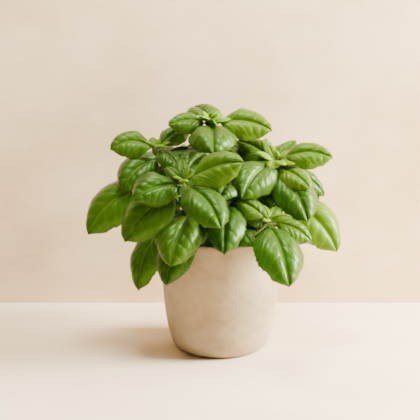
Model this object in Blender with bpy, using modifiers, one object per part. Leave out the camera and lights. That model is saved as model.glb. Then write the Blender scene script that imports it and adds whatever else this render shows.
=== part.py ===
"""Potted basil: a round stoneware pot, its soil, and a bushy crown of leafy stems.

Metres, +Z up. The origin is the middle of the pot's flat underside, and -Y is the front.
"""

import math
from itertools import pairwise

import bmesh
import bpy
from mathutils import Quaternion, Vector

MM = 0.001

# Pot: a turned bowl whose side is a quarter ellipse up to the belly and then draws in to the rim.
POT_HEIGHT = 127 * MM
BELLY_RADIUS = 65.2 * MM
BELLY_HEIGHT = 90 * MM
RIM_RADIUS = 64 * MM
FOOT_RADIUS = 47 * MM
POT_WALL = 4.5 * MM
POT_FLOOR = 6 * MM
RIM_ROUNDING = 1.6 * MM
POT_SIDES = 48

# Soil: fills the pot to this depth below the rim, with a low crown in the middle.
SOIL_BELOW_RIM = 11 * MM
SOIL_CROWN = 2.5 * MM
SOIL_GAP = 0.4 * MM

# Stems stand in sockets in the soil, and end in a bud.
STEM_FOOT_RADIUS = 2.1 * MM
STEM_TOP_RADIUS = 1.4 * MM
BUD_RADIUS = 2.6 * MM
BUD_LENGTH = 9 * MM
STEM_DEPTH = 14 * MM
SOCKET_GAP = 0.4 * MM
SOCKET_SIDES = 12

# Leaves: thin blades on round stalks.
STALK_RADIUS = 0.9 * MM
STALK_GAP = 0.4 * MM
BLADE_THICKNESS = 0.8 * MM
KEEL_DEPTH = 0.5 * MM
KEEL_HALF_WIDTH = 0.7 * MM
BLADE_FOLD = 0.6
BLADE_CUP = 0.84
BLADE_STATIONS = (0.06, 0.18, 0.34, 0.52, 0.7, 0.85, 0.95)

# The planting plan is drawn in millimetres for a pot with this rim, and grows with the real rim.
PLAN_RIM_RADIUS = 64 * MM
PLAN_UNIT = MM * RIM_RADIUS / PLAN_RIM_RADIUS

# Each stem: foot (x, y) on the soil, top (x, y, height above the soil), then its leaves.
# Each leaf: name, height of its joint on the stem as a share of the stem, azimuth, rise, droop
# and roll in degrees, then stalk length, blade length and blade width.
# Azimuth 0 points to +X and 90 to +Y. Droop is how far the leaf turns down along its length.
STEMS = {
    "crest": ((-8, 14), (-11, 18, 134), (
        ("back", 0.98, 116, 48, 62, -16, 7, 45, 40),
        ("left", 0.98, 195, 29, 58, -38, 5, 43, 33),
        ("right", 0.98, -8, 24, 58, 46, 9, 61, 42),
        ("front", 0.97, -86, 8, 66, 0, 5, 56, 50),
        ("inner_right", 0.72, -14, 8, 60, 36, 14, 50, 38),
        ("inner_left", 0.74, 238, 6, 55, -36, 10, 42, 34),
        ("low_left", 0.48, 214, 12, 60, -30, 14, 46, 38),
    )),
    "left": ((-34, 8), (-70, 10, 106), (
        ("out", 0.98, 195, 40, 80, -46, 4, 50, 38),
        ("front_left", 0.88, 223, 6, 74, -34, 5, 59, 40),
        ("back_right", 0.99, 31, 54, 50, 34, 4, 42, 28),
        ("front_right", 0.97, -54, 8, 62, 0, 5, 42, 30),
        ("low_out", 0.58, 201, 15, 84, -42, 30, 86, 50),
        ("drooping", 0.28, 223, -4, 90, -22, 38, 72, 35),
    )),
    "right": ((28, 6), (61, 2, 92), (
        ("out", 0.97, -9, 40, 70, 40, 9, 55, 38),
        ("mid", 0.91, -45, 9, 54, 22, 8, 46, 32),
        ("back", 0.97, 66, 40, 50, 6, 8, 46, 34),
        ("back_left", 0.98, 152, 48, 46, -36, 5, 48, 34),
        ("front_left", 0.96, 235, 10, 70, -34, 6, 67, 45),
        ("front_right", 0.90, -56, -10, 58, 20, 8, 72, 45),
        ("drop", 0.84, 4, 16, 80, 36, 12, 56, 35),
        ("low_out", 0.48, -18, 14, 88, 44, 28, 84, 52),
        ("inner", 0.72, -82, 0, 60, 0, 8, 36, 26),
    )),
    "front": ((-18, -24), (-38, -50, 76), (
        ("right", 0.98, -12, 45, 48, 52, 6, 62, 42),
        ("fore", 0.95, -54, 2, 62, 12, 6, 69, 45),
        ("left", 0.97, 204, 14, 54, -54, 5, 52, 38),
        ("low_left", 0.83, 200, -4, 62, -44, 12, 73, 51),
        ("low_fore", 0.57, 248, -10, 60, -14, 12, 66, 44),
        ("rim_left", 0.32, 235, 0, 86, -18, 22, 63, 38),
    )),
    "low_right": ((26, -30), (50, -56, 37), (
        ("left", 0.97, 158, 54, 50, -30, 4, 36, 28),
        ("fore", 0.92, -72, -10, 60, 0, 8, 76, 49),
        ("right", 0.90, -4, 9, 64, 36, 7, 44, 32),
    )),
    "heart": ((4, -12), (11, -26, 70), (
        ("small", 0.96, 252, 28, 84, -6, 4, 33, 28),
        ("fore", 0.72, -94, 0, 62, 6, 14, 72, 38),
        ("low_right", 0.55, -16, 6, 60, 0, 10, 34, 24),
        ("rim_left", 0.36, 237, 18, 60, 0, 44, 27, 20),
        ("rim_right", 0.30, -67, 22, 60, 0, 46, 26, 18),
    )),
    "back_left": ((-24, 34), (-52, 62, 90), (
        ("out", 0.98, 160, 24, 62, 0, 6, 58, 40),
        ("back", 0.96, 88, 10, 62, 0, 6, 60, 44),
        ("in", 0.98, -20, 42, 52, 0, 5, 40, 30),
        ("low_back", 0.66, 120, 0, 66, 0, 16, 66, 46),
        ("low_out", 0.50, 180, 8, 80, 0, 24, 68, 42),
    )),
    "back_right": ((22, 36), (48, 62, 96), (
        ("out", 0.98, 24, 24, 62, 0, 6, 58, 40),
        ("back", 0.96, 100, 10, 62, 0, 6, 62, 44),
        ("in", 0.98, 205, 42, 52, 0, 5, 40, 30),
        ("low_back", 0.66, 70, 0, 66, 0, 16, 66, 46),
        ("low_out", 0.48, 10, 8, 80, 0, 24, 68, 42),
    )),
    "rear": ((-2, 42), (-2, 76, 52), (
        ("left", 0.96, 165, 16, 58, 0, 5, 46, 34),
        ("right", 0.96, 14, 16, 58, 0, 5, 46, 34),
        ("hang", 0.88, 90, -10, 58, 0, 8, 64, 44),
    )),
}


def new_collection(name):
    collection = bpy.data.collections.new(name)
    bpy.context.scene.collection.children.link(collection)
    return collection


def new_material(name, colour, roughness):
    material = bpy.data.materials.new(name)
    material.use_nodes = True
    shader = material.node_tree.nodes["Principled BSDF"]
    shader.inputs["Base Color"].default_value = (*colour, 1)
    shader.inputs["Roughness"].default_value = roughness
    shader.inputs["Metallic"].default_value = 0
    return material


def new_object(name, data, collection, material=None):
    obj = bpy.data.objects.new(name, data)
    collection.objects.link(obj)
    if material:
        obj.data.materials.append(material)
    return obj


# Pot and soil: turned shapes


def outer_radius(height):
    """Radius of the pot's outside at this height."""
    if height <= BELLY_HEIGHT:
        share = (BELLY_HEIGHT - height) / BELLY_HEIGHT
        return FOOT_RADIUS + (BELLY_RADIUS - FOOT_RADIUS) * math.sqrt(1 - share**2)
    share = (height - BELLY_HEIGHT) / (POT_HEIGHT - BELLY_HEIGHT)
    return BELLY_RADIUS - (BELLY_RADIUS - RIM_RADIUS) * share**2


def inner_radius(height):
    return outer_radius(height) - POT_WALL


def side_heights(low, high, count):
    """Heights that lie closer together near the foot, where the side curves most."""
    return [low + (high - low) * (i / count) ** 1.6 for i in range(count + 1)]


def turned(name, profile, collection, material):
    """Turns an (r, z) profile about Z. The profile runs down its outer side, from top to bottom."""
    mesh = bpy.data.meshes.new(name)
    edges = [(i, i + 1) for i in range(len(profile) - 1)]
    mesh.from_pydata([(r, 0, z) for r, z in profile], edges, [])
    obj = new_object(name, mesh, collection, material)
    screw = obj.modifiers.new("Turn", "SCREW")
    screw.steps = screw.render_steps = POT_SIDES
    screw.use_merge_vertices = True
    screw.merge_threshold = 0.00005
    screw.use_smooth_shade = True
    return obj


def rim_arc():
    """The rim's two rounded corners, from the inner wall over to the outer wall."""
    corners = []
    outer, inner = RIM_RADIUS - RIM_ROUNDING, RIM_RADIUS - POT_WALL + RIM_ROUNDING
    for middle, start in ((inner, 180), (outer, 90)):
        for step in range(3):
            angle = math.radians(start - 45 * step)
            reach = RIM_ROUNDING * math.cos(angle)
            rise = RIM_ROUNDING * math.sin(angle)
            corners.append((middle + reach, POT_HEIGHT - RIM_ROUNDING + rise))
    return corners


def inside_wall():
    """The pot's inner wall, from its floor up to the rim's rounding."""
    shoulder = POT_HEIGHT - 2 * RIM_ROUNDING
    return [(inner_radius(z), z) for z in side_heights(POT_FLOOR, shoulder, 7)]


def wall_radius(height):
    """Radius of the turned inner wall at this height, on the straight line between two of its points."""
    for (low_radius, low), (high_radius, high) in pairwise(inside_wall()):
        if low <= height <= high:
            return low_radius + (high_radius - low_radius) * (height - low) / (high - low)
    return inner_radius(height)


def make_pot(collection, material):
    shoulder = POT_HEIGHT - 2 * RIM_ROUNDING
    inside = inside_wall()
    outside = [(outer_radius(z), z) for z in reversed(side_heights(0, shoulder, 9))]
    profile = [(0, POT_FLOOR), *inside, *rim_arc(), *outside, (0, 0)]
    return turned("pot", profile, collection, material)


def soil_level(radius=0):
    """Height of the soil's surface at this distance from the middle."""
    level = POT_HEIGHT - SOIL_BELOW_RIM
    share = min(radius / inner_radius(level), 1)
    return level + SOIL_CROWN * math.cos(share * math.pi / 2)


def make_soil(collection, cutters, material, feet):
    bottom, edge = POT_FLOOR + SOIL_GAP, POT_HEIGHT - SOIL_BELOW_RIM
    levels = [bottom, *(z for _, z in inside_wall() if bottom < z < edge), edge]
    wall = [(wall_radius(z) - SOIL_GAP, z) for z in reversed(levels)]
    top = [(share * wall[0][0], soil_level(share * wall[0][0])) for share in (0, 0.35, 0.7)]
    soil = turned("soil", [*top, *wall, (0, bottom)], collection, material)
    for number, foot in enumerate(feet, 1):
        bpy.ops.mesh.primitive_cylinder_add(
            vertices=SOCKET_SIDES,
            radius=(STEM_FOOT_RADIUS + SOCKET_GAP) / math.cos(math.pi / SOCKET_SIDES),
            depth=2 * (STEM_DEPTH + SOCKET_GAP),
            location=(foot.x, foot.y, foot.z),
        )
        cutter = bpy.context.object
        cutter.name = f"socket_cutter_{number}"
        cutter.hide_render = True
        cutter.display_type = "WIRE"
        for owner in cutter.users_collection:
            owner.objects.unlink(cutter)
        cutters.objects.link(cutter)
        cut = soil.modifiers.new(f"Socket {number}", "BOOLEAN")
        cut.operation = "DIFFERENCE"
        cut.solver = "EXACT"
        cut.object = cutter
    return soil


# Stems


def plan_point(x, y, height=0.0):
    """A point of the planting plan, in metres. Heights count from the soil's edge level."""
    level = POT_HEIGHT - SOIL_BELOW_RIM
    return Vector((x * PLAN_UNIT, y * PLAN_UNIT, level + height * PLAN_UNIT))


class Stem:
    """A stem's centre line: straight up out of the soil, then leaning out to its top."""

    def __init__(self, foot, top):
        self.foot = plan_point(*foot)
        self.foot.z = soil_level(math.hypot(self.foot.x, self.foot.y))
        self.top = plan_point(*top)
        rise = self.top.z - self.foot.z
        self.knee = self.foot + Vector((0, 0, rise * 0.35))
        lean = self.top - self.foot
        self.neck = self.foot + Vector((lean.x * 0.75, lean.y * 0.75, lean.z * 0.7))

    def at(self, share):
        """Point on the centre line, from 0 at the soil to 1 at the top."""
        rest = 1 - share
        return (
            rest**3 * self.foot
            + 3 * rest**2 * share * self.knee
            + 3 * rest * share**2 * self.neck
            + share**3 * self.top
        )

    def direction(self, share):
        return (self.at(min(share + 0.01, 1)) - self.at(share - 0.01)).normalized()

    def radius(self, share):
        return STEM_FOOT_RADIUS + (STEM_TOP_RADIUS - STEM_FOOT_RADIUS) * share


def make_stem(name, stem, collection, material):
    """A tapered tube from the bottom of its socket to its bud."""
    along = stem.direction(0.99)
    line = [(stem.foot - Vector((0, 0, STEM_DEPTH)), STEM_FOOT_RADIUS)]
    line += [(stem.at(i / 9), stem.radius(i / 9)) for i in range(10)]
    line.append((stem.top + along * BUD_LENGTH * 0.45, BUD_RADIUS))
    line.append((stem.top + along * BUD_LENGTH, STALK_RADIUS))
    curve = bpy.data.curves.new(name, "CURVE")
    curve.dimensions = "3D"
    curve.bevel_depth = 1
    curve.bevel_resolution = 2
    curve.use_fill_caps = True
    spline = curve.splines.new("POLY")
    spline.points.add(len(line) - 1)
    for point, (place, radius) in zip(spline.points, line):
        point.co = (*place, 1)
        point.radius = radius
    return new_object(name, curve, collection, material)


# Leaves


def blade_outline(share):
    """Half width of a blade as a share of its widest, from 0 at its base to 1 at its tip."""
    return math.sin(math.pi * share**0.8) ** 0.7


class Leaf:
    """A leaf's midrib, an arc that droops in one upright plane, and the ring of its section."""

    def __init__(self, stem, joint, azimuth, rise, droop, roll, stalk, length, width):
        self.stalk = stalk * PLAN_UNIT
        self.length = length * PLAN_UNIT
        self.half_width = width * PLAN_UNIT / 2
        self.rise, self.droop = math.radians(rise), math.radians(droop)
        self.roll = math.radians(roll)
        heading = math.radians(azimuth)
        self.out = Vector((math.cos(heading), math.sin(heading), 0))
        along, axis = self.tangent(0), stem.direction(joint)
        lean = abs(along.dot(axis))
        clear = stem.radius(joint) + STALK_GAP + STALK_RADIUS * lean
        self.start = stem.at(joint) + along * clear / math.sqrt(1 - lean**2)

    def tangent(self, share):
        angle = self.rise - self.droop * share
        return self.out * math.cos(angle) + Vector((0, 0, math.sin(angle)))

    def midrib(self, share):
        """Point on the midrib, from 0 at the stalk's joint to 1 at the leaf's tip."""
        full = self.stalk + self.length
        half_turn = self.droop * share / 2
        chord = full * share * math.sin(half_turn) / half_turn if half_turn else 0
        return self.start + self.tangent(share / 2) * chord

    def frame(self, share):
        """Sideways and upward directions of the section, rolled about the midrib."""
        along = self.tangent(share)
        side = self.out.cross(Vector((0, 0, 1)))
        turn = Quaternion(along, self.roll * min(share * 2.5, 1))
        side.rotate(turn)
        return side, side.cross(along)

    def ring(self, share, profile):
        side, up = self.frame(share)
        middle = self.midrib(share)
        return [middle + side * across + up * lift for across, lift in profile]


def stalk_profile():
    """Nine points round the stalk: left, over the top to the right, and back underneath."""
    angles = (180, 135, 90, 45, 0, -40, -75, -105, -140)
    return [
        (STALK_RADIUS * math.cos(math.radians(a)), STALK_RADIUS * math.sin(math.radians(a)))
        for a in angles
    ]


def blade_profile(half_width):
    """The same nine points across a blade: folded at the midrib, cupped, with a keel beneath."""
    half = BLADE_THICKNESS / 2

    def lift(share):
        return half_width * (BLADE_FOLD * abs(share) - BLADE_CUP * share**2)

    over = [(share * half_width, lift(share) + half) for share in (-0.55, 0, 0.55)]
    flank = (0.55 * half_width, lift(0.55) - half)
    keel_width = min(KEEL_HALF_WIDTH, 0.3 * half_width)
    keel = (keel_width, -half - KEEL_DEPTH)
    left, right = (-half_width, lift(1)), (half_width, lift(1))
    return [left, *over, right, flank, keel, (-keel[0], keel[1]), (-flank[0], flank[1])]


def loft(name, rings, tip):
    """Skin over rings of equal count, capped at the first and drawn to a point at the tip."""
    shape = bmesh.new()
    rows = [[shape.verts.new(point) for point in ring] for ring in rings]
    count = len(rows[0])
    shape.faces.new(rows[0])
    for near, far in zip(rows, rows[1:]):
        for i in range(count):
            j = (i + 1) % count
            shape.faces.new((near[j], near[i], far[i], far[j]))
    point = shape.verts.new(tip)
    for i in range(count):
        shape.faces.new((rows[-1][(i + 1) % count], rows[-1][i], point))
    bmesh.ops.recalc_face_normals(shape, faces=shape.faces)
    mesh = bpy.data.meshes.new(name)
    shape.to_mesh(mesh)
    shape.free()
    mesh.shade_smooth()
    return mesh


def make_leaf(name, leaf, collection, material):
    full = leaf.stalk + leaf.length
    joined = leaf.stalk / full
    rings = [leaf.ring(joined * share, stalk_profile()) for share in (0, 0.5, 1)]
    for station in BLADE_STATIONS:
        profile = blade_profile(leaf.half_width * blade_outline(station))
        rings.append(leaf.ring(joined + (1 - joined) * station, profile))
    mesh = loft(name, rings, leaf.midrib(1))
    return new_object(name, mesh, collection, material)


def main():
    for obj in list(bpy.data.objects):
        bpy.data.objects.remove(obj)
    plant = new_collection("potted_basil")
    cutters = new_collection("cutters")
    cutters.hide_render = True
    stoneware = new_material("stoneware", (0.72, 0.62, 0.48), 0.6)
    potting_mix = new_material("potting_mix", (0.05, 0.032, 0.02), 0.95)
    stem_green = new_material("stem_green", (0.26, 0.42, 0.08), 0.5)
    leaf_green = new_material("leaf_green", (0.1, 0.26, 0.035), 0.4)

    make_pot(plant, stoneware)
    stems = {name: Stem(foot, top) for name, (foot, top, _) in STEMS.items()}
    feet = [stem.foot for stem in stems.values()]
    make_soil(plant, cutters, potting_mix, feet)
    for name, (_, _, leaves) in STEMS.items():
        make_stem(f"stem_{name}", stems[name], plant, stem_green)
        for label, joint, *shape in leaves:
            leaf = Leaf(stems[name], joint, *shape)
            make_leaf(f"leaf_{name}_{label}", leaf, plant, leaf_green)


main()
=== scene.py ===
import math

import bmesh
import bpy
import numpy as np
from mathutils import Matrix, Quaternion, Vector


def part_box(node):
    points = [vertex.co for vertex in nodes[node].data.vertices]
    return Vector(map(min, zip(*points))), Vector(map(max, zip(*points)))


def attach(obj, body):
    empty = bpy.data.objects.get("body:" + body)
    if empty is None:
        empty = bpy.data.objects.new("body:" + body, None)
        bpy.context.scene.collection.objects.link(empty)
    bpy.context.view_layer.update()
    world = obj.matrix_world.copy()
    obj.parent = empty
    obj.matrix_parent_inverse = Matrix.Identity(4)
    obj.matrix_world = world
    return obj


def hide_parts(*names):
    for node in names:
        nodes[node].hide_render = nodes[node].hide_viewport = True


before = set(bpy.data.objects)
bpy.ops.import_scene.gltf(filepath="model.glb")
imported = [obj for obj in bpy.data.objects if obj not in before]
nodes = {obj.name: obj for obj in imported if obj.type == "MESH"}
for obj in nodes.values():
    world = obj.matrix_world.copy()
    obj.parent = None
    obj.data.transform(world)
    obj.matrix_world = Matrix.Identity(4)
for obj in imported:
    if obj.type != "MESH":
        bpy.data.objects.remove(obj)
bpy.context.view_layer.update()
leafNames = sorted(name for name in nodes if name.startswith("leaf_"))
stemNames = sorted(name for name in nodes if name.startswith("stem_"))
print("frame loaded:", len(leafNames), "leaves on", len(stemNames), "stems")


# Helpers for building node trees and objects

def plug(tree, feed, socket):
    if isinstance(feed, bpy.types.NodeSocket):
        tree.links.new(feed, socket)
    else:
        socket.default_value = feed


def addNode(tree, kind, feeds=None, **settings):
    node = tree.nodes.new(kind)
    for name, value in settings.items():
        setattr(node, name, value)
    for spot, feed in (feeds or {}).items():
        plug(tree, feed, node.inputs[spot])
    return node


def spaced(name):
    # ribDepth means the socket called Rib Depth
    return "".join(" " + c if c.isupper() else c for c in name).title().replace("Ior", "IOR")


def calc(tree, operation, *feeds):
    # a math node's answer
    node = tree.nodes.new("ShaderNodeMath")
    node.operation = operation
    for socket, feed in zip(node.inputs, feeds):
        plug(tree, feed, socket)
    return node.outputs[0]


def ramp(tree, value, low, high, newLow=0.0, newHigh=1.0):
    # an eased step from newLow to newHigh as the value goes from low to high
    node = addNode(tree, "ShaderNodeMapRange", {0: value, 1: low, 2: high, 3: newLow, 4: newHigh})
    node.interpolation_type = "SMOOTHSTEP"
    return node.outputs[0]


def blendColour(tree, factor, first, second):
    node = tree.nodes.new("ShaderNodeMix")
    node.data_type = "RGBA"
    node.clamp_factor = True
    plug(tree, factor, node.inputs[0])
    plug(tree, first, node.inputs[6])
    plug(tree, second, node.inputs[7])
    return node.outputs[2]


def newGroup(name, kind, inputs, outputs):
    tree = bpy.data.node_groups.new(name, kind)
    for label, socketType, value in inputs:
        socket = tree.interface.new_socket(label, in_out="INPUT", socket_type=socketType)
        if value is not None:
            socket.default_value = value
    for label, socketType in outputs:
        tree.interface.new_socket(label, in_out="OUTPUT", socket_type=socketType)
    return tree, tree.nodes.new("NodeGroupInput").outputs, tree.nodes.new("NodeGroupOutput").inputs


def useTree(obj, tree, **values):
    # a modifier's inputs go by the socket's identifier
    modifier = obj.modifiers.new(tree.name, "NODES")
    modifier.node_group = tree
    labels = {item.name: item.identifier for item in tree.interface.items_tree if item.in_out == "INPUT"}
    for name, value in values.items():
        modifier[labels[spaced(name)]] = value
    return modifier


def plainMesh(obj):
    # the evaluated shape becomes a plain mesh of its own, with no modifiers left
    graph = bpy.context.evaluated_depsgraph_get()
    mesh = bpy.data.meshes.new_from_object(obj.evaluated_get(graph))
    mesh.name = obj.name
    if obj.type == "MESH":
        obj.modifiers.clear()
        obj.data = mesh
        return obj
    name = obj.name
    bpy.data.objects.remove(obj)
    made = bpy.data.objects.new(name, mesh)
    bpy.context.scene.collection.objects.link(made)
    return made


def newObject(name, data):
    obj = bpy.data.objects.new(name, data)
    bpy.context.scene.collection.objects.link(obj)
    return obj


# Shader groups that several materials share

def mottleGroup():
    # soft patches and fine grain, in the object's own space
    tree, feed, out = newGroup(
        "mottle", "ShaderNodeTree",
        [("Patch Scale", "NodeSocketFloat", 20.0), ("Grain Scale", "NodeSocketFloat", 400.0),
         ("Stretch", "NodeSocketVector", (1, 1, 1))],
        [("Patches", "NodeSocketFloat"), ("Grain", "NodeSocketFloat"), ("Specks", "NodeSocketFloat")])
    place = tree.nodes.new("ShaderNodeTexCoord").outputs["Object"]
    place = addNode(tree, "ShaderNodeVectorMath", {0: place, 1: feed["Stretch"]}, operation="MULTIPLY").outputs[0]
    patches = addNode(tree, "ShaderNodeTexNoise",
                      {"Vector": place, "Scale": feed["Patch Scale"], "Detail": 5.0, "Roughness": 0.6})
    grain = addNode(tree, "ShaderNodeTexNoise", {"Vector": place, "Scale": feed["Grain Scale"], "Detail": 3.0})
    speckScale = calc(tree, "MULTIPLY", feed["Grain Scale"], 0.4)
    specks = addNode(tree, "ShaderNodeTexVoronoi", {"Vector": place, "Scale": speckScale})
    plug(tree, ramp(tree, patches.outputs[0], 0.3, 0.7), out["Patches"])
    plug(tree, grain.outputs[0], out["Grain"])
    plug(tree, ramp(tree, specks.outputs["Distance"], 0.05, 0.16, 1.0, 0.0), out["Specks"])
    return tree


veinShape = {"sweep": 0.38, "curl": 0.2, "stagger": 0.3, "ribWidth": 0.055, "fineness": 14.0, "netWidth": 0.09}


def veinRule(tree, along, across, pairs):
    # side veins leave the midrib and sweep towards the tip, staggered between the two halves
    side = calc(tree, "ABSOLUTE", across)
    sweep = calc(tree, "MULTIPLY", side, veinShape["sweep"])
    sweep = calc(tree, "MULTIPLY_ADD", calc(tree, "POWER", side, 3.0), veinShape["curl"], sweep)
    root = calc(tree, "DIVIDE", calc(tree, "SUBTRACT", along, sweep), calc(tree, "SUBTRACT", 1.0, sweep))
    stagger = calc(tree, "MULTIPLY", calc(tree, "GREATER_THAN", across, 0.0), veinShape["stagger"])
    phase = calc(tree, "ADD", calc(tree, "MULTIPLY", root, pairs), stagger)
    part = calc(tree, "MULTIPLY_ADD", calc(tree, "FRACT", phase), 2.0, -1.0)
    line = calc(tree, "ABSOLUTE", part)  # 1 on a vein, 0 halfway to the next
    ribSide = calc(tree, "POWER", calc(tree, "DIVIDE", side, veinShape["ribWidth"]), 2.0)
    rib = calc(tree, "EXPONENT", calc(tree, "MULTIPLY", ribSide, -1.0))
    return side, line, rib


def veinsGroup():
    tree, feed, out = newGroup(
        "veins", "ShaderNodeTree",
        [("Pairs", "NodeSocketFloat", 6.0), ("Net Scale", "NodeSocketFloat", 16.0)],
        [("Vein", "NodeSocketFloat"), ("Rib", "NodeSocketFloat"), ("Net", "NodeSocketFloat"),
         ("Pillow", "NodeSocketFloat")])
    along = addNode(tree, "ShaderNodeAttribute", attribute_name="along").outputs["Fac"]
    across = addNode(tree, "ShaderNodeAttribute", attribute_name="across").outputs["Fac"]
    side, line, rib = veinRule(tree, along, across, feed["Pairs"])
    fade = ramp(tree, side, 0.75, 1.0, 1.0, 0.15)
    vein = calc(tree, "MULTIPLY", calc(tree, "POWER", line, veinShape["fineness"]), fade)
    spot = addNode(tree, "ShaderNodeCombineXYZ", {0: calc(tree, "MULTIPLY", along, 2.2), 1: across}).outputs[0]
    net = addNode(tree, "ShaderNodeTexVoronoi", {"Vector": spot, "Scale": feed["Net Scale"]},
                  feature="DISTANCE_TO_EDGE")
    plug(tree, vein, out["Vein"])
    plug(tree, rib, out["Rib"])
    plug(tree, ramp(tree, net.outputs["Distance"], 0.0, veinShape["netWidth"], 1.0, 0.0), out["Net"])
    plug(tree, calc(tree, "SUBTRACT", 1.0, calc(tree, "POWER", line, 2.5)), out["Pillow"])
    return tree


mottle = mottleGroup()
veins = veinsGroup()


def newMaterial(name, **sockets):
    # what is the same all over the surface is set on the shader itself
    material = bpy.data.materials.new(name)
    material.use_nodes = True
    tree = material.node_tree
    shader = tree.nodes["Principled BSDF"].inputs
    for label, value in sockets.items():
        shader[spaced(label)].default_value = value
    return material, tree, shader


def placeGroup(tree, group, **values):
    node = tree.nodes.new("ShaderNodeGroup")
    node.node_tree = group
    for name, value in values.items():
        plug(tree, value, node.inputs[spaced(name)])
    return node.outputs


def bumps(tree, height, distance, strength=1.0):
    node = addNode(tree, "ShaderNodeBump", {"Height": height, "Distance": distance, "Strength": strength})
    return node.outputs[0]


# Relief, thickness and stalk are in metres; the outline's values are shares of the blade
leafMake = {
    "rows": 60, "columns": 40,
    "pairs": 5.0, "netScale": 15.0,
    "pucker": 0.0004, "bulge": 0.0004, "ribDepth": 0.0008, "ruffle": 0.0022,
    "thickness": 0.00045,
    "gather": 0.55, "crowding": 1.15,
    "spread": 1.06, "fullness": 0.19, "pinch": 0.3,
    "teeth": 12, "toothDepth": 0.05, "toothEdge": 8,
    "stalkRadius": 0.0009, "stalkSteps": 26,
    "ribReach": 0.8, "ribEvery": 3, "ribTuck": 0.0006, "ribTaper": 0.75,
}

leafColours = {
    "deep": (0.003, 0.016, 0.0008, 1),
    "fresh": (0.0092, 0.039, 0.0016, 1),
    "young": (0.20, 0.34, 0.008, 1),
    "vein": (0.09, 0.19, 0.015, 1),
    "under": (0.05, 0.11, 0.009, 1),
    "underPatch": (0.03, 0.08, 0.006, 1),
}

leafGloss = {
    "subsurfaceWeight": 0.18, "subsurfaceScale": 0.004, "subsurfaceRadius": (0.5, 1.0, 0.15),
    "specularIorLevel": 0.3, "specularTint": (0.4, 1.0, 0.16, 1), "coatRoughness": 0.2,
}

leafSkin = {
    "patchScale": 38.0, "grainScale": 900.0,
    "pillowTint": 0.25, "veinTint": 0.22, "ribTint": 0.8, "netTint": 0.06,
    "bumpDepth": 0.0003, "veinBump": -0.7, "netBump": -0.2, "patchBump": 0.4,
}


def leafMaterial(name, first, second, coat, roughness):
    # two tones in patches, turned towards young green by the leaf's own tone, with paler veins and painted shade in the
    # vein grooves
    material, tree, shader = newMaterial(name, coatWeight=coat, **leafGloss)
    lines = placeGroup(tree, veins, pairs=leafMake["pairs"], netScale=leafMake["netScale"])
    skin = placeGroup(tree, mottle, patchScale=leafSkin["patchScale"], grainScale=leafSkin["grainScale"])
    tone = addNode(tree, "ShaderNodeAttribute", attribute_name="tone").outputs["Fac"]
    lamina = blendColour(tree, skin["Patches"], leafColours[first], leafColours[second])
    # painted light: on the right-hand leaves this turn towards young green stands in for backlight
    lamina = blendColour(tree, tone, lamina, leafColours["young"])
    # painted shade and light: the pillows between veins are lightened towards fresh green, while the vein grooves stay
    # darker
    shade = calc(tree, "MULTIPLY", lines["Pillow"], leafSkin["pillowTint"])
    lamina = blendColour(tree, shade, lamina, leafColours["fresh"])
    middle = calc(tree, "MULTIPLY", calc(tree, "POWER", lines["Rib"], 3.0), leafSkin["ribTint"])
    ridge = calc(tree, "MAXIMUM", calc(tree, "MULTIPLY", lines["Vein"], leafSkin["veinTint"]), middle)
    ridge = calc(tree, "MULTIPLY_ADD", lines["Net"], leafSkin["netTint"], ridge)
    plug(tree, blendColour(tree, ridge, lamina, leafColours["vein"]), shader["Base Color"])
    rough = calc(tree, "MULTIPLY_ADD", skin["Grain"], 0.1, roughness)
    plug(tree, calc(tree, "MULTIPLY_ADD", ridge, 0.15, rough), shader["Roughness"])
    height = calc(tree, "MULTIPLY", skin["Patches"], leafSkin["patchBump"])
    height = calc(tree, "MULTIPLY_ADD", lines["Net"], leafSkin["netBump"], height)
    height = calc(tree, "MULTIPLY_ADD", lines["Vein"], leafSkin["veinBump"], height)
    plug(tree, bumps(tree, height, leafSkin["bumpDepth"]), shader["Normal"])
    return material


stemColours = {"dark": (0.05, 0.10, 0.008, 1), "light": (0.12, 0.2, 0.02, 1)}


def stemMaterial():
    material, tree, shader = newMaterial("stemSkin", subsurfaceWeight=0.1, subsurfaceScale=0.003)
    skin = placeGroup(tree, mottle, patchScale=60.0, grainScale=700.0, stretch=(1, 1, 0.12))
    colour = blendColour(tree, skin["Patches"], stemColours["dark"], stemColours["light"])
    plug(tree, colour, shader["Base Color"])
    plug(tree, calc(tree, "MULTIPLY_ADD", skin["Grain"], 0.2, 0.35), shader["Roughness"])
    plug(tree, bumps(tree, skin["Patches"], 0.0003, 0.5), shader["Normal"])
    return material


clayColours = {
    "dark": (0.27, 0.2, 0.118, 1),
    "light": (0.37, 0.29, 0.18, 1),
    "bloom": (0.47, 0.39, 0.27, 1),
    "speck": (0.42, 0.32, 0.22, 1),
}


def stonewareMaterial():
    material, tree, shader = newMaterial("stoneware", specularIorLevel=0.35)
    clay = placeGroup(tree, mottle, patchScale=16.0, grainScale=1100.0, stretch=(1, 1, 1.6))
    fine = placeGroup(tree, mottle, patchScale=90.0, grainScale=2600.0)
    colour = blendColour(tree, clay["Patches"], clayColours["dark"], clayColours["light"])
    colour = blendColour(tree, calc(tree, "MULTIPLY", fine["Patches"], 0.35), colour, clayColours["bloom"])
    colour = blendColour(tree, calc(tree, "MULTIPLY", clay["Specks"], 0.16), colour, clayColours["speck"])
    plug(tree, colour, shader["Base Color"])
    plug(tree, calc(tree, "MULTIPLY_ADD", fine["Patches"], 0.2, 0.5), shader["Roughness"])
    height = calc(tree, "MULTIPLY_ADD", fine["Patches"], 0.6, fine["Grain"])
    height = calc(tree, "MULTIPLY_ADD", clay["Patches"], 1.4, height)
    plug(tree, bumps(tree, height, 0.0005, 0.45), shader["Normal"])
    return material


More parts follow.
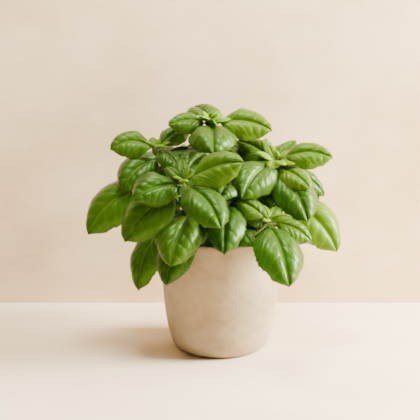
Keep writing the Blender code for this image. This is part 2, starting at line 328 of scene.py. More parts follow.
earthColours = {
    "pottingMix": {"dark": (0.022, 0.014, 0.009, 1), "light": (0.075, 0.05, 0.033, 1), "grainScale": 700.0},
    "barkCrumb": {"dark": (0.05, 0.03, 0.018, 1), "light": (0.13, 0.085, 0.05, 1), "grainScale": 900.0},
    "perlite": {"dark": (0.62, 0.6, 0.55, 1), "light": (0.8, 0.78, 0.74, 1), "grainScale": 900.0},
}


def earthMaterial(name, dark, light, grainScale):
    material, tree, shader = newMaterial(name, specularIorLevel=0.25)
    soil = placeGroup(tree, mottle, patchScale=140.0, grainScale=grainScale)
    colour = blendColour(tree, soil["Patches"], dark, light)
    colour = blendColour(tree, calc(tree, "MULTIPLY", soil["Specks"], 0.3), colour, light)
    plug(tree, colour, shader["Base Color"])
    plug(tree, calc(tree, "MULTIPLY_ADD", soil["Grain"], 0.15, 0.82), shader["Roughness"])
    plug(tree, bumps(tree, soil["Patches"], 0.0015), shader["Normal"])
    return material


def plasterMaterial(name, dark, light):
    material, tree, shader = newMaterial(name, specularIorLevel=0.2)
    wash = placeGroup(tree, mottle, patchScale=5.0, grainScale=300.0, stretch=(1, 2.5, 1.5))
    plug(tree, blendColour(tree, wash["Patches"], dark, light), shader["Base Color"])
    plug(tree, calc(tree, "MULTIPLY_ADD", wash["Grain"], 0.1, 0.75), shader["Roughness"])
    plug(tree, bumps(tree, wash["Grain"], 0.0004, 0.3), shader["Normal"])
    return material


leafTop = leafMaterial("leafTop", "deep", "fresh", 0.04, 0.24)
leafUnder = leafMaterial("leafUnder", "under", "underPatch", 0.0, 0.5)
stemSkin = stemMaterial()
stoneware = stonewareMaterial()
pottingMix, barkCrumb, perlite = (earthMaterial(name, **make) for name, make in earthColours.items())
print("materials ready")


# Geometry node trees: the relief of a leaf, a stem's tube, and the crumbs on the soil

def leafReliefTree():
    tree, feed, out = newGroup(
        "leafRelief", "GeometryNodeTree",
        [("Geometry", "NodeSocketGeometry", None), ("Pairs", "NodeSocketFloat", 6.0),
         ("Pucker", "NodeSocketFloat", 0.0008), ("Bulge", "NodeSocketFloat", 0.0015),
         ("Rib Depth", "NodeSocketFloat", 0.0009), ("Ruffle", "NodeSocketFloat", 0.0015),
         ("Seed", "NodeSocketFloat", 0.0), ("Skin", "NodeSocketMaterial", None)],
        [("Geometry", "NodeSocketGeometry")])
    along, across = (
        addNode(tree, "GeometryNodeInputNamedAttribute", {"Name": name}, data_type="FLOAT").outputs["Attribute"]
        for name in ("along", "across"))
    side, line, rib = veinRule(tree, along, across, feed["Pairs"])
    pillow = ramp(tree, line, 0.25, 1.05, 1.0, 0.0)
    fade = calc(tree, "MULTIPLY", ramp(tree, side, 0.02, 0.2), ramp(tree, side, 0.7, 1.0, 1.0, 0.0))
    fade = calc(tree, "MULTIPLY", fade, ramp(tree, along, 0.0, 0.12))
    fade = calc(tree, "MULTIPLY", fade, ramp(tree, along, 0.85, 1.0, 1.0, 0.0))
    lift = calc(tree, "MULTIPLY", calc(tree, "MULTIPLY", pillow, fade), feed["Pucker"])
    arch = calc(tree, "SINE", calc(tree, "MULTIPLY", calc(tree, "POWER", side, 0.8), math.pi))
    lift = calc(tree, "MULTIPLY_ADD", calc(tree, "MULTIPLY", arch, ramp(tree, along, 0.0, 0.3)), feed["Bulge"], lift)
    groove = calc(tree, "MULTIPLY", calc(tree, "MULTIPLY", rib, ramp(tree, along, 0.0, 0.1)), feed["Rib Depth"])
    place = tree.nodes.new("GeometryNodeInputPosition").outputs[0]
    shift = addNode(tree, "ShaderNodeCombineXYZ", {0: feed["Seed"], 1: feed["Seed"], 2: feed["Seed"]}).outputs[0]
    place = addNode(tree, "ShaderNodeVectorMath", {0: place, 1: shift}, operation="ADD").outputs[0]
    waves = addNode(tree, "ShaderNodeTexNoise", {"Vector": place, "Scale": 70.0, "Detail": 1.0}).outputs[0]
    waves = calc(tree, "MULTIPLY", calc(tree, "MULTIPLY_ADD", waves, 2.0, -1.0), calc(tree, "POWER", side, 2.0))
    height = calc(tree, "SUBTRACT", lift, groove)
    height = calc(tree, "MULTIPLY_ADD", waves, feed["Ruffle"], height)
    normal = tree.nodes.new("GeometryNodeInputNormal").outputs[0]
    offset = addNode(tree, "ShaderNodeVectorMath", {0: normal, "Scale": height}, operation="SCALE").outputs[0]
    moved = addNode(tree, "GeometryNodeSetPosition", {"Geometry": feed["Geometry"], "Offset": offset})
    real = addNode(tree, "GeometryNodeRealizeInstances", {"Geometry": moved.outputs[0]})
    done = addNode(tree, "GeometryNodeSetMaterial", {"Geometry": real.outputs[0], "Material": feed["Skin"]})
    plug(tree, done.outputs[0], out["Geometry"])
    return tree


def stemTubeTree():
    # a squarish tube along the curve, as thick as the curve's radius
    tree, feed, out = newGroup(
        "stemTube", "GeometryNodeTree",
        [("Geometry", "NodeSocketGeometry", None), ("Sides", "NodeSocketInt", 12), ("Rings", "NodeSocketInt", 60),
         ("Ridge", "NodeSocketFloat", 0.1), ("Skin", "NodeSocketMaterial", None)],
        [("Geometry", "NodeSocketGeometry")])
    path = addNode(tree, "GeometryNodeResampleCurve", {"Curve": feed["Geometry"], "Count": feed["Rings"]}).outputs[0]
    ring = addNode(tree, "GeometryNodeCurvePrimitiveCircle", {"Resolution": feed["Sides"], "Radius": 1.0})
    ring = ring.outputs["Curve"]
    spot = tree.nodes.new("GeometryNodeInputPosition").outputs[0]
    x, y = addNode(tree, "ShaderNodeSeparateXYZ", {0: spot}).outputs[:2]
    four = calc(tree, "COSINE", calc(tree, "MULTIPLY", calc(tree, "ARCTAN2", y, x), 4.0))
    square = calc(tree, "MULTIPLY_ADD", four, feed["Ridge"], 1.0)
    spot = addNode(tree, "ShaderNodeVectorMath", {0: spot, "Scale": square}, operation="SCALE").outputs[0]
    ring = addNode(tree, "GeometryNodeSetPosition", {"Geometry": ring, "Position": spot}).outputs[0]
    girth = addNode(tree, "GeometryNodeInputRadius").outputs[0]
    tube = addNode(tree, "GeometryNodeCurveToMesh",
                   {"Curve": path, "Profile Curve": ring, "Scale": girth, "Fill Caps": True})
    smooth = addNode(tree, "GeometryNodeSetShadeSmooth", {"Geometry": tube.outputs[0]})
    real = addNode(tree, "GeometryNodeRealizeInstances", {"Geometry": smooth.outputs[0]})
    done = addNode(tree, "GeometryNodeSetMaterial", {"Geometry": real.outputs[0], "Material": feed["Skin"]})
    plug(tree, done.outputs[0], out["Geometry"])
    return tree


def crumbTree():
    # lumps of many sizes, scattered over a sheet and turned at random
    tree, feed, out = newGroup(
        "soilCrumbs", "GeometryNodeTree",
        [("Geometry", "NodeSocketGeometry", None), ("Density", "NodeSocketFloat", 1000.0),
         ("Spacing", "NodeSocketFloat", 0.001), ("Smallest", "NodeSocketFloat", 0.001),
         ("Largest", "NodeSocketFloat", 0.003), ("Seed", "NodeSocketInt", 1), ("Skin", "NodeSocketMaterial", None)],
        [("Geometry", "NodeSocketGeometry")])
    spots = addNode(
        tree, "GeometryNodeDistributePointsOnFaces",
        {"Mesh": feed["Geometry"], "Distance Min": feed["Spacing"], "Density Max": feed["Density"],
         "Seed": feed["Seed"]},
        distribute_method="POISSON")
    lump = addNode(tree, "GeometryNodeMeshIcoSphere", {"Radius": 0.5, "Subdivisions": 1}).outputs[0]
    rough = addNode(tree, "ShaderNodeTexNoise", {"Scale": 2.2, "Detail": 2.0}).outputs["Color"]
    rough = addNode(tree, "ShaderNodeVectorMath", {0: rough, 1: (0.5, 0.5, 0.5)}, operation="SUBTRACT").outputs[0]
    lump = addNode(tree, "GeometryNodeSetPosition", {"Geometry": lump, "Offset": rough}).outputs[0]
    fullTurn = (6.28, 6.28, 6.28)
    turn = addNode(tree, "FunctionNodeRandomValue",
                   {1: fullTurn, "Seed": feed["Seed"]}, data_type="FLOAT_VECTOR").outputs[0]
    size = addNode(tree, "FunctionNodeRandomValue",
                   {2: feed["Smallest"], 3: feed["Largest"], "Seed": feed["Seed"]}, data_type="FLOAT").outputs[1]
    spread = addNode(tree, "GeometryNodeInstanceOnPoints",
                     {"Points": spots.outputs[0], "Instance": lump, "Rotation": turn, "Scale": size})
    real = addNode(tree, "GeometryNodeRealizeInstances", {"Geometry": spread.outputs[0]})
    smooth = addNode(tree, "GeometryNodeSetShadeSmooth", {"Geometry": real.outputs[0]})
    done = addNode(tree, "GeometryNodeSetMaterial", {"Geometry": smooth.outputs[0], "Material": feed["Skin"]})
    plug(tree, done.outputs[0], out["Geometry"])
    return tree


leafRelief = leafReliefTree()
stemTube = stemTubeTree()
soilCrumbs = crumbTree()


# Reading a leaf or a stem back from its plain solid

weld = 1e-6
solidLeaf = {"sides": 9, "rings": 10, "bladeRings": 7}  # how each leaf solid is laid out, its tip apart
solidStemSides = 8
innerPlace = 0.55  # how far out the solids' inner points lie, from midrib to edge


def mergedCopy(name):
    # packed faces don't share their vertices, so they are joined in a copy
    shape = bmesh.new()
    shape.from_mesh(nodes[name].data)
    bmesh.ops.remove_doubles(shape, verts=shape.verts, dist=weld)
    return shape


def layersFrom(start):
    # rings of vertices, each one edge further from the start
    layers, seen = [list(start)], set(start)
    while layers[-1]:
        ahead = []
        for vert in layers[-1]:
            for edge in vert.link_edges:
                other = edge.other_vert(vert)
                if other not in seen:
                    seen.add(other)
                    ahead.append(other)
        layers.append(ahead)
    return layers[:-1]


def inOrder(ring):
    # the ring's places, walked round from neighbour to neighbour
    members, walk = set(ring), [ring[0]]
    while len(walk) < len(ring):
        for edge in walk[-1].link_edges:
            other = edge.other_vert(walk[-1])
            if other in members and other not in walk:
                walk.append(other)
                break
    return [vert.co.copy() for vert in walk]


def readLeaf(name):
    # the stalk's centre line, then rows of five points from edge to edge of the blade, then the tip
    shape = mergedCopy(name)
    sides, bladeEnd = solidLeaf["sides"], solidLeaf["bladeRings"] + 1
    for tip in [vert for vert in shape.verts if len(vert.link_edges) == sides]:
        layers = layersFrom([tip])
        if [len(layer) for layer in layers] == [1] + [sides] * solidLeaf["rings"]:
            break
    rows = []
    for layer in reversed(layers[1:bladeEnd]):
        ring = inOrder(layer)
        first = max(range(sides), key=lambda i: (ring[i] - ring[(i + 4) % sides]).length)
        row = [ring[(first + i) % sides] for i in range(5)]
        keel = (ring[(first + 6) % sides] + ring[(first + 7) % sides]) / 2
        if rows and (row[4] - row[0]).dot(rows[-1][4] - rows[-1][0]) < 0:
            row.reverse()
        rows.append(row)
        upward = row[2] - keel
    stalk = []
    for layer in reversed(layers[bladeEnd:]):
        points = [vert.co for vert in layer]
        ends = max(((a, b) for a in points for b in points), key=lambda pair: (pair[0] - pair[1]).length)
        stalk.append((ends[0] + ends[1]) / 2)
    end = tip.co.copy()
    shape.free()
    across = rows[-1][4] - rows[-1][0]
    if across.cross(end - rows[-1][2]).dot(upward) < 0:  # faces made from the rows must look up
        rows = [row[::-1] for row in rows]
    return {"stalk": stalk, "rows": rows, "tip": end}


def readStem(name):
    # the middle of each ring from the foot up, with its radius
    shape = mergedCopy(name)
    low = sorted(shape.verts, key=lambda vert: vert.co.z)[:solidStemSides]
    path = []
    for layer in layersFrom(low):
        middle = sum((vert.co for vert in layer), Vector()) / len(layer)
        path.append((middle, sum((vert.co - middle).length for vert in layer) / len(layer)))
    shape.free()
    return path


def distances(points):
    # how far along the path each point lies
    return np.concatenate([[0], np.cumsum([math.dist(a, b) for a, b in zip(points, points[1:])])])


def smoothPath(points, knots, at):
    # a cubic through unevenly spaced points
    points, knots = np.asarray(points, float), np.asarray(knots, float)
    slopes = np.gradient(points, knots, axis=0)
    spot = np.clip(np.searchsorted(knots, at, side="right") - 1, 0, len(knots) - 2)
    width = (knots[spot + 1] - knots[spot])[:, None]
    t = ((at - knots[spot])[:, None]) / width
    return ((2 * t**3 - 3 * t**2 + 1) * points[spot] + (t**3 - 2 * t**2 + t) * width * slopes[spot]
            + (3 * t**2 - 2 * t**3) * points[spot + 1] + (t**3 - t**2) * width * slopes[spot + 1])


def hill(along, place, width):
    return np.exp(-(((along - place) / width) ** 2))


def leafGrid(leaf, rows, columns, rng):
    middle = [leaf["stalk"][-1]] + [row[2] for row in leaf["rows"]] + [leaf["tip"]]
    knots = distances(middle)
    knots /= knots[-1]
    # rows gather towards both ends, and columns towards the midrib
    even, gather = np.linspace(0, 1, rows + 1), leafMake["gather"]
    along = (1 - gather) * even + gather * (0.5 - 0.5 * np.cos(math.pi * even))
    chains = []
    for i in range(5):
        chain = [leaf["stalk"][-1]] + [row[i] for row in leaf["rows"]] + [leaf["tip"]]
        chains.append(smoothPath([tuple(p) for p in chain], knots, along))
    left, leftIn, mid, rightIn, right = chains
    even = np.linspace(-1, 1, columns + 1)
    across = np.sign(even) * np.abs(even) ** leafMake["crowding"]
    # teeth lean towards the tip and fade out at both ends
    saw = (along * leafMake["teeth"] + rng.random()) % 1
    tooth = leafMake["toothDepth"] * (saw**2 - 0.4) * np.clip((along - 0.2) * 3, 0, 1) * np.clip((1 - along) * 9, 0, 1)
    # the blade is fuller beyond its middle, then drawn in to a point
    swell = 0.5 * hill(along, 0.7, 0.18) + hill(along, 0.88, 0.07)
    full = leafMake["spread"] + leafMake["fullness"] * swell - leafMake["pinch"] * hill(along, 0.985, 0.025)
    grid = np.empty((rows + 1, columns + 1, 3))
    for j, a in enumerate(across):
        t = (abs(a) * full * (1 + tooth * abs(a) ** leafMake["toothEdge"]))[:, None]
        near, far = (leftIn, left) if a < 0 else (rightIn, right)
        # a parabola through midrib, inner point and edge
        grid[:, j] = (mid * (t - innerPlace) * (t - 1) / innerPlace
                      + near * t * (t - 1) / (innerPlace * (innerPlace - 1))
                      + far * t * (t - innerPlace) / (1 - innerPlace))
    return grid, along, across


def sheetMesh(name, grid, along, across, tone):
    # the grid's two ends are single points, and each point knows its place on the leaf
    rows, columns = grid.shape[0] - 1, grid.shape[1] - 1
    points = [grid[0, 0]] + [p for row in grid[1:-1] for p in row] + [grid[-1, 0]]
    places = [(0.0, 0.0)] + [(s, a) for s in along[1:-1] for a in across] + [(1.0, 0.0)]
    last, width = len(points) - 1, columns + 1
    faces = [(0, 1 + j + 1, 1 + j) for j in range(columns)]
    for i in range(rows - 2):
        for j in range(columns):
            a = 1 + i * width + j
            faces.append((a, a + 1, a + width + 1, a + width))
    start = 1 + (rows - 2) * width
    faces += [(start + j, start + j + 1, last) for j in range(columns)]
    mesh = bpy.data.meshes.new(name)
    mesh.from_pydata([tuple(p) for p in points], [], faces)
    labels = {"along": [p[0] for p in places], "across": [p[1] for p in places], "tone": [tone] * len(points)}
    for label, values in labels.items():
        mesh.attributes.new(label, "FLOAT", "POINT").data.foreach_set("value", values)
    mesh.shade_smooth()
    return mesh


def addTube(shape, path, radii, slot, sides=8):
    # a closed tube along a path, whose rings keep turned the same way
    rings, side = [], None
    for i, point in enumerate(path):
        ahead = path[min(i + 1, len(path) - 1)] - path[max(i - 1, 0)]
        ahead.normalize()
        side = ahead.orthogonal().normalized() if side is None else (side - ahead * side.dot(ahead)).normalized()
        other = ahead.cross(side)
        turns = [2 * math.pi * k / sides for k in range(sides)]
        rings.append([shape.verts.new(point + (side * math.cos(t) + other * math.sin(t)) * radii[i]) for t in turns])
    faces = [shape.faces.new(rings[0][::-1]), shape.faces.new(rings[-1])]
    for near, far in zip(rings, rings[1:]):
        for k in range(sides):
            faces.append(shape.faces.new((near[k], near[(k + 1) % sides], far[(k + 1) % sides], far[k])))
    for face in faces:
        face.material_index = slot
        face.smooth = True


def stalkAndRib(leaf, grid, along, scale):
    # the stalk runs on beneath the blade as its rib, thinner towards the tip
    middle = grid.shape[1] // 2
    under = []
    for i in range(leafMake["ribEvery"], int(len(along) * leafMake["ribReach"]), leafMake["ribEvery"]):
        here = Vector(grid[i, middle])
        sideways = Vector(grid[i, middle + 1]) - Vector(grid[i, middle - 1])
        normal = sideways.cross(Vector(grid[i + 1, middle]) - here).normalized()
        under.append(here - normal * (leafMake["ribDepth"] + leafMake["ribTuck"]) * scale)
    path = [p.copy() for p in leaf["stalk"]] + under
    girth = leafMake["stalkRadius"] * (0.35 + 0.65 * scale)
    radii = [girth] * len(leaf["stalk"])
    radii += [girth * (1 - leafMake["ribTaper"] * (i + 1) / len(under)) for i in range(len(under))]
    knots = distances(path)
    knots /= knots[-1]
    fine = np.linspace(0, 1, leafMake["stalkSteps"])
    smooth = smoothPath([tuple(p) for p in path], knots, fine)
    return [Vector(p) for p in smooth], np.interp(fine, knots, radii)


def makeBlade(name, leaf, tone, seed, rows=leafMake["rows"], columns=leafMake["columns"], scale=1.0):
    rng = np.random.default_rng(seed)
    grid, along, across = leafGrid(leaf, rows, columns, rng)
    obj = newObject(name, sheetMesh(name, grid, along, across, tone))
    for material in (leafTop, leafUnder, stemSkin):
        obj.data.materials.append(material)
    relief = {label: leafMake[label] * scale for label in ("pucker", "bulge", "ribDepth", "ruffle")}
    useTree(obj, leafRelief, pairs=leafMake["pairs"], seed=float(seed), skin=leafTop, **relief)
    skin = obj.modifiers.new("thickness", "SOLIDIFY")
    skin.thickness = leafMake["thickness"] * (0.5 + 0.5 * scale)
    skin.offset = -1
    skin.material_offset = 1
    plainMesh(obj)
    shape = bmesh.new()
    shape.from_mesh(obj.data)
    path, radii = stalkAndRib(leaf, grid, along, scale)
    addTube(shape, path, radii, 2)
    shape.to_mesh(obj.data)
    shape.free()
    return obj


# How far a leaf's green has turned from full-grown towards young, where that stands out; on the right-hand leaves the
# paler tone is partly painted backlight, and leaf_heart_fore's low tone is painted shade
leafTonesWithPaintedLight = {
    "leaf_right_low_out": 0.4, "leaf_right_out": 0.25, "leaf_right_mid": 0.35, "leaf_right_back": 0.2,
    "leaf_crest_right": 0.3, "leaf_front_right": 0.22, "leaf_low_right_right": 0.18, "leaf_low_right_left": 0.22,
    "leaf_low_right_fore": 0.08, "leaf_heart_small": 0.06, "leaf_heart_fore": 0.04,
    "leaf_right_back_left": 0.2, "leaf_left_back_right": 0.1,
}

pieces = []
for number, name in enumerate(leafNames):
    leaf = readLeaf(name)
    tone = leafTonesWithPaintedLight.get(name, 0.04 + 0.012 * (number * 7 % 9))  # the others differ only slightly
    made = makeBlade(name.replace("leaf_", "blade_"), leaf, tone, number + 1)
    pieces.append((made, "leaf_green", [name]))
print("leaves made:", len(pieces))


# Stems

stemMake = {"steps": 48, "rings": 70, "sides": 16, "ridge": 0.08, "budRadius": 0.0011}

stemPaths = {}
for name in stemNames:
    path = readStem(name)
    stemPaths[name.replace("stem_", "")] = path
    curve = bpy.data.curves.new(name.replace("stem_", "stalk_"), "CURVE")
    curve.dimensions = "3D"
    spline = curve.splines.new("POLY")
    body = path[:-2]
    places = [tuple(p) for p, _ in body] + [tuple(body[-1][0] + (path[-1][0] - body[-1][0]) * 0.35)]
    girths = [r for _, r in body] + [stemMake["budRadius"]]
    knots = distances(places)
    knots /= knots[-1]
    fine = np.linspace(0, 1, stemMake["steps"])
    smooth = smoothPath(places, knots, fine)
    spline.points.add(len(fine) - 1)
    for point, spot, girth in zip(spline.points, smooth, np.interp(fine, knots, girths)):
        point.co = (*spot, 1)
        point.radius = girth
    obj = newObject(curve.name, curve)
    useTree(obj, stemTube, sides=stemMake["sides"], rings=stemMake["rings"], ridge=stemMake["ridge"], skin=stemSkin)
    pieces.append((plainMesh(obj), "stem_green", [name]))
print("stems made")


# Leaves that have no solid. Young ones stand at each shoot's top:
# azimuth, rise, droop and roll in degrees, then length and width in mm, and tone

youngMake = {"rows": 30, "columns": 20, "scale": 0.45}
youngLeaves = {
    "crest": [
        (60, 52, 40, 0, 22, 14, 0.8), (235, 50, 50, 0, 18, 12, 0.9), (-20, 34, 45, 10, 21, 14, 0.85),
        (180, 44, 45, -10, 17, 11, 0.85), (150, 70, 40, 0, 13, 8, 1.0), (-50, 66, 50, 0, 12, 8, 1.0),
        (280, 80, 30, 0, 9, 5, 1.0),
    ],
    "left": [
        (110, 48, 40, 0, 22, 14, 0.4), (290, 40, 50, 0, 18, 12, 0.5), (20, 50, 50, 0, 20, 13, 0.45),
        (200, 56, 50, 0, 15, 10, 0.6), (60, 78, 30, 0, 9, 5, 0.8),
    ],
    "right": [
        (115, 60, 40, -10, 28, 16, 0.7), (285, 26, 50, 0, 21, 14, 0.85), (200, 50, 45, -20, 22, 14, 0.9),
        (30, 52, 40, 0, 22, 13, 0.8), (325, 22, 50, 16, 22, 14, 0.7), (250, 12, 50, -10, 21, 14, 0.7),
        (250, 78, 30, 0, 11, 6, 1.0), (80, 80, 30, 0, 9, 5, 1.0),
    ],
    "front": [
        (100, 66, 36, 0, 28, 16, 0.1), (150, 56, 40, -25, 24, 14, 0.12), (60, 76, 30, 0, 16, 9, 0.4),
        (275, 40, 50, 0, 15, 10, 0.6), (225, 52, 50, 0, 14, 9, 0.5), (20, 56, 40, 0, 14, 9, 0.5),
    ],
    "low_right": [
        (60, 48, 45, 10, 26, 16, 0.3), (-20, 38, 50, 24, 23, 14, 0.35), (110, 64, 40, 0, 18, 11, 0.45),
        (250, 34, 50, 0, 14, 9, 0.7), (330, 66, 40, 0, 11, 7, 0.8),
    ],
    "heart": [
        (80, 66, 40, 0, 23, 14, 0.08), (-20, 52, 50, 20, 22, 14, 0.1), (170, 54, 45, -20, 20, 12, 0.1),
        (300, 60, 40, 0, 13, 8, 0.3),
    ],
    "back_left": [
        (60, 60, 40, 0, 22, 14, 0.6), (240, 50, 50, 0, 20, 13, 0.7), (150, 64, 36, 0, 15, 9, 0.9),
        (330, 64, 36, 0, 15, 9, 0.9),
    ],
    "back_right": [
        (70, 60, 40, 0, 22, 14, 0.6), (300, 50, 50, 0, 20, 13, 0.7), (160, 64, 36, 0, 15, 9, 0.9),
        (0, 64, 36, 0, 15, 9, 0.9),
    ],
    "rear": [
        (90, 50, 40, 0, 24, 15, 0.5), (270, 56, 50, 0, 20, 13, 0.6), (0, 64, 36, 0, 14, 9, 0.8),
        (180, 64, 36, 0, 14, 9, 0.8),
    ],
}

# Fuller ones fill the crown from within: share of the stem, then as above with the stalk's length after the roll
innerMake = {"rows": 40, "columns": 28, "scale": 0.85}
innerLeaves = {
    "crest": [
        (0.84, 186, -4, 50, -10, 8, 42, 32, 0.05), (0.8, 8, 2, 50, 10, 8, 44, 32, 0.05),
        (0.62, 20, 0, 60, 10, 12, 46, 34, 0.0), (0.6, 300, -4, 60, 10, 14, 44, 32, 0.0),
        (0.4, 110, 6, 60, 0, 14, 44, 32, 0.0), (0.86, 75, 20, 60, 0, 8, 44, 32, 0.1),
        (0.3, 330, 10, 60, 0, 16, 40, 28, 0.0), (0.96, 276, 41, 25, -25, 3, 21, 14, 0.3),
    ],
    "left": [
        (0.3, 262, 35, 60, 0, 4, 38, 34, 0.0), (0.6, 70, 40, 50, 0, 8, 46, 32, 0.0),
        (0.78, 100, 10, 60, 0, 8, 44, 30, 0.0), (0.7, 290, 0, 60, 0, 10, 40, 28, 0.0),
        (0.45, 120, 0, 60, 0, 10, 46, 32, 0.0), (0.86, 82, 47, 53, 15, 6, 41, 28, 0.1),
        (0.94, 2, 18, 22, 26, 10, 35, 24, 0.1),
    ],
    "right": [
        (0.8, 250, 0, 50, 0, 4, 34, 28, 0.0), (0.42, 300, 25, 50, 0, 6, 44, 34, 0.0),
        (0.5, 250, 15, 50, 0, 4, 40, 32, 0.0), (0.74, 100, 10, 60, 0, 8, 46, 32, 0.0),
        (0.6, 200, 4, 60, -20, 10, 44, 30, 0.0), (0.4, 60, 0, 60, 0, 14, 46, 32, 0.0),
        (0.34, 285, 0, 60, 0, 12, 40, 28, 0.0), (0.97, 38, 51, 23, 26, 4, 37, 26, 0.25),
        (0.86, 26, 34, 35, 8, 4, 40, 25, 0.1), (0.77, 17, -6, 31, -33, 13, 54, 36, 0.1),
    ],
    "front": [
        (0.5, 150, 8, 50, 0, 6, 38, 30, 0.0), (0.7, 80, 10, 60, 0, 8, 40, 28, 0.0),
        (0.5, 300, 10, 60, 10, 10, 34, 24, 0.0), (0.42, 130, 20, 50, 0, 12, 40, 28, 0.0),
    ],
    "low_right": [
        (0.6, 60, 20, 60, 0, 8, 36, 26, 0.0), (0.6, 230, 26, 44, 0, 8, 26, 18, 0.0),
    ],
    "heart": [
        (0.2, 245, 10, 50, 0, 10, 34, 28, 0.1), (0.15, 290, 12, 50, 0, 10, 30, 24, 0.1),
        (0.5, 30, 10, 60, 0, 12, 40, 28, 0.0), (0.45, 170, 10, 60, 0, 12, 40, 28, 0.0),
        (0.7, 110, 10, 60, 0, 8, 38, 26, 0.0),
    ],
    "back_left": [
        (0.8, 230, 10, 60, 0, 8, 44, 30, 0.0), (0.36, 80, 0, 60, 0, 14, 48, 34, 0.0),
        (0.7, 20, 0, 60, 0, 8, 44, 30, 0.0),
    ],
    "back_right": [
        (0.8, 320, 10, 60, 0, 8, 44, 30, 0.0), (0.36, 110, 0, 60, 0, 14, 48, 34, 0.0),
        (0.7, 160, 0, 60, 0, 8, 44, 30, 0.0),
    ],
    "rear": [
        (0.6, 130, 0, 60, 0, 10, 44, 32, 0.0), (0.6, 50, 0, 60, 0, 10, 44, 32, 0.0),
    ],
}


plannedMake = {
    "stations": (0.06, 0.18, 0.34, 0.52, 0.7, 0.85, 0.95),
    "shoulder": 0.8, "roundness": 0.7,
    "foldRise": 0.6, "foldFall": 0.84,
    "rollEase": 2.5,
}


def plannedLeaf(start, azimuth, rise, droop, roll, stalk, length, width):
    # the same make-up as a leaf read from its solid
    heading, roll = math.radians(azimuth), math.radians(roll)
    out = Vector((math.cos(heading), math.sin(heading), 0))

    def tangent(share):
        angle = math.radians(rise - droop * share)
        return out * math.cos(angle) + Vector((0, 0, math.sin(angle)))

    def midrib(share):
        half = math.radians(droop) * share / 2
        return start + tangent(share / 2) * (stalk + length) * share * (math.sin(half) / half if half else 1)

    rows = []
    base = stalk / (stalk + length)
    for station in plannedMake["stations"]:
        share = base + (1 - base) * station
        along = tangent(share)
        side = out.cross(Vector((0, 0, 1)))
        side.rotate(Quaternion(along, roll * min(share * plannedMake["rollEase"], 1)))
        up = side.cross(along)
        half = width / 2 * math.sin(math.pi * station ** plannedMake["shoulder"]) ** plannedMake["roundness"]
        row = []
        for t in (1, innerPlace, 0, -innerPlace, -1):
            lift = half * (plannedMake["foldRise"] * abs(t) - plannedMake["foldFall"] * t * t)
            row.append(midrib(share) + side * t * half + up * lift)
        rows.append(row)
    across = rows[-1][4] - rows[-1][0]
    if across.cross(midrib(1) - rows[-1][2]).dot(up) < 0:
        rows = [row[::-1] for row in rows]
    return {"stalk": [midrib(base * share) for share in (0, 0.5, 1)], "rows": rows, "tip": midrib(1)}


def joined(name, parts):
    # all of one shoot's added leaves make one piece
    shape = bmesh.new()
    for part in parts:
        shape.from_mesh(part.data)
    mesh = bpy.data.meshes.new(name)
    shape.to_mesh(mesh)
    shape.free()
    for material in (leafTop, leafUnder, stemSkin):
        mesh.materials.append(material)
    for part in parts:
        bpy.data.objects.remove(part)
    return newObject(name, mesh)


mm = 0.001

for number, (shoot, leaves) in enumerate(youngLeaves.items()):
    path = stemPaths[shoot]
    top, bud = path[-3][0], path[-1][0]
    parts = []
    for i, (azimuth, rise, droop, roll, length, width, tone) in enumerate(leaves):
        start = top + (bud - top) * (0.06 * i)
        stalk = (0.15 * length + 1) * mm
        leaf = plannedLeaf(start, azimuth, rise, droop, roll, stalk, length * mm, width * mm)
        parts.append(makeBlade(f"part{i}", leaf, tone, 100 + number * 10 + i, **youngMake))
    pieces.append((joined(f"young_{shoot}", parts), "leaf_green", []))

for number, (shoot, leaves) in enumerate(innerLeaves.items()):
    path = [p for p, _ in stemPaths[shoot]][1:-2]
    parts = []
    for i, (share, azimuth, rise, droop, roll, stalk, length, width, tone) in enumerate(leaves):
        spot = share * (len(path) - 1)
        start = path[int(spot)].lerp(path[min(int(spot) + 1, len(path) - 1)], spot % 1)
        leaf = plannedLeaf(start, azimuth, rise, droop, roll, stalk * mm, length * mm, width * mm)
        parts.append(makeBlade(f"part{i}", leaf, tone, 300 + number * 10 + i, **innerMake))
    pieces.append((joined(f"inner_{shoot}", parts), "leaf_green", []))
print("young and inner leaves made")


# Pot: its solid's profile, smoothed and turned again with more sides

potMake = {"sides": 160, "fineness": 0.0025, "poleWeld": 0.00002}


def potProfile():
    # the line where the solid's wall crosses the plane of x, from the foot up, over the rim and down inside
    shape = mergedCopy("pot")
    line = [vert for vert in shape.verts if vert.co.x > 0 and abs(vert.co.y) < 1e-5]
    walk = [min(line, key=lambda vert: vert.co.z)]
    while len(walk) < len(line):
        near = [edge.other_vert(walk[-1]) for edge in walk[-1].link_edges]
        walk += [vert for vert in near if vert in line and vert not in walk]
    points = [(vert.co.x, vert.co.z) for vert in walk]
    shape.free()
    return points


def turnedPot():
    # flat discs close the profile on the axis, under the foot and over the inner floor
    points = potProfile()
    knots = distances(points)
    fine = np.unique(np.concatenate([knots, np.arange(0, knots[-1], potMake["fineness"])]))
    wall = [tuple(p) for p in smoothPath(points, knots, fine)]
    profile = [(0, 0), (wall[0][0] * 0.5, 0), *wall, (wall[-1][0] * 0.5, wall[-1][1]), (0, wall[-1][1])]
    mesh = bpy.data.meshes.new("pot_shell")
    mesh.from_pydata([(r, 0, z) for r, z in profile], [(i, i + 1) for i in range(len(profile) - 1)], [])
    obj = newObject("pot_shell", mesh)
    obj.data.materials.append(stoneware)
    screw = obj.modifiers.new("turn", "SCREW")
    screw.steps = screw.render_steps = potMake["sides"]
    screw.use_merge_vertices = True
    screw.merge_threshold = potMake["poleWeld"]
    screw.use_smooth_shade = True
    plainMesh(obj)
    shape = bmesh.new()
    shape.from_mesh(obj.data)
    bmesh.ops.remove_doubles(shape, verts=shape.verts, dist=weld)
    bmesh.ops.recalc_face_normals(shape, faces=shape.faces)
    shape.to_mesh(obj.data)
    shape.free()
    return obj


pieces.append((turnedPot(), "stoneware", ["pot"]))
print("pot turned")


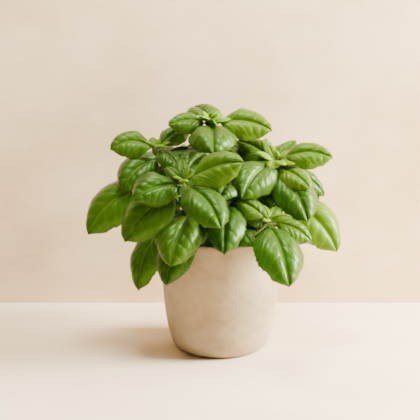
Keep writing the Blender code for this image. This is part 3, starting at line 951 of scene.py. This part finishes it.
# Soil: the solid stays, under loose crumbs

soilMake = {
    "crumbs": {"density": 90000.0, "spacing": 0.0016, "smallest": 0.0012, "largest": 0.0042, "seed": 4},
    "perlite": {"density": 2500.0, "spacing": 0.006, "smallest": 0.0016, "largest": 0.0034, "seed": 9},
}

crumbBed = {"segments": 64, "margin": 0.003, "sink": 0.0013}

nodes["soil"].material_slots[0].material = pottingMix
low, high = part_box("soil")
soilRadius, soilTop = high[0], high[2]
for label, material in (("crumbs", barkCrumb), ("perlite", perlite)):
    mesh = bpy.data.meshes.new("soil_" + label)
    shape = bmesh.new()
    bmesh.ops.create_circle(shape, cap_ends=True, segments=crumbBed["segments"], radius=soilRadius - crumbBed["margin"])
    bmesh.ops.translate(shape, verts=shape.verts, vec=(0, 0, soilTop - crumbBed["sink"]))
    shape.to_mesh(mesh)
    shape.free()
    obj = newObject("soil_" + label, mesh)
    useTree(obj, soilCrumbs, skin=material, **soilMake[label])
    pieces.append((plainMesh(obj), "potting_mix", []))
print("soil dressed")


for obj, slotName, replaced in pieces:
    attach(obj, "root")
    if replaced:
        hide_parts(*replaced)


# Floor, wall and lights

def stageSheet(name, corners, material):
    mesh = bpy.data.meshes.new(name)
    mesh.from_pydata(corners, [], [(0, 1, 2, 3)])
    mesh.materials.append(material)
    return newObject(name, mesh)


plasterColours = {
    "floorPlaster": {"dark": (0.76, 0.61, 0.41, 1), "light": (0.83, 0.69, 0.49, 1)},
    "wallPlaster": {"dark": (0.71, 0.52, 0.30, 1), "light": (0.87, 0.70, 0.47, 1)},
}
floorPlaster, wallPlaster = (plasterMaterial(name, **make) for name, make in plasterColours.items())
# the wall shows only from its front, so the plant can be seen from behind
tree = wallPlaster.node_tree
front = tree.nodes["Principled BSDF"].outputs[0]
clear = tree.nodes.new("ShaderNodeBsdfTransparent").outputs[0]
backfacing = tree.nodes.new("ShaderNodeNewGeometry").outputs["Backfacing"]
mixed = addNode(tree, "ShaderNodeMixShader", {0: backfacing, 1: front, 2: clear})
plug(tree, mixed.outputs[0], tree.nodes["Material Output"].inputs["Surface"])

floorHalf, wallHalf, wallHeight, wallPlace = 4, 3, 2.2, 0.168
floorCorners = [(x * floorHalf, y * floorHalf, 0) for x, y in ((-1, -1), (1, -1), (1, 1), (-1, 1))]
wallCorners = [(x * wallHalf, wallPlace, z * wallHeight) for x, z in ((-1, 0), (1, 0), (1, 1), (-1, 1))]
floor = stageSheet("floor", floorCorners, floorPlaster)
wall = stageSheet("wall", wallCorners, wallPlaster)

lights = {
    "key": {"place": (1.25, 0.0, 0.7), "size": 0.7, "power": 215.0, "colour": (1.0, 0.95, 0.87)},
    "fill": {"place": (-0.9, -1.1, 0.9), "size": 1.6, "power": 0.6, "colour": (1.0, 0.94, 0.87)},
    "top": {"place": (-0.05, -0.15, 1.15), "size": 0.4, "power": 22.0, "colour": (1.0, 0.97, 0.93)},
}
crownMiddle = Vector((0, 0, 0.15))
for name, make in lights.items():
    lamp = bpy.data.lights.new(name, "AREA")
    lamp.size, lamp.energy, lamp.color = make["size"], make["power"], make["colour"]
    obj = newObject(name, lamp)
    obj.location = make["place"]
    obj.rotation_euler = (crownMiddle - Vector(make["place"])).to_track_quat("-Z", "Y").to_euler()

glow = {"colour": (1.0, 0.95, 0.88, 1), "strength": 0.1}
world = bpy.data.worlds.new("studio")
bpy.context.scene.world = world
world.use_nodes = True
world.node_tree.nodes["Background"].inputs["Color"].default_value = glow["colour"]
world.node_tree.nodes["Background"].inputs["Strength"].default_value = glow["strength"]

cameraMake = {"place": (0, -0.92, 0.317), "downward": 9.93, "lens": 71.9, "sensor": 36, "shift": -0.0248}
camera = newObject("camera", bpy.data.cameras.new("camera"))
camera.location = cameraMake["place"]
camera.rotation_euler = (math.radians(90 - cameraMake["downward"]), 0, 0)
camera.data.lens = cameraMake["lens"]
camera.data.sensor_width = cameraMake["sensor"]
camera.data.shift_x = cameraMake["shift"]
bpy.context.scene.camera = camera
print("stage set")
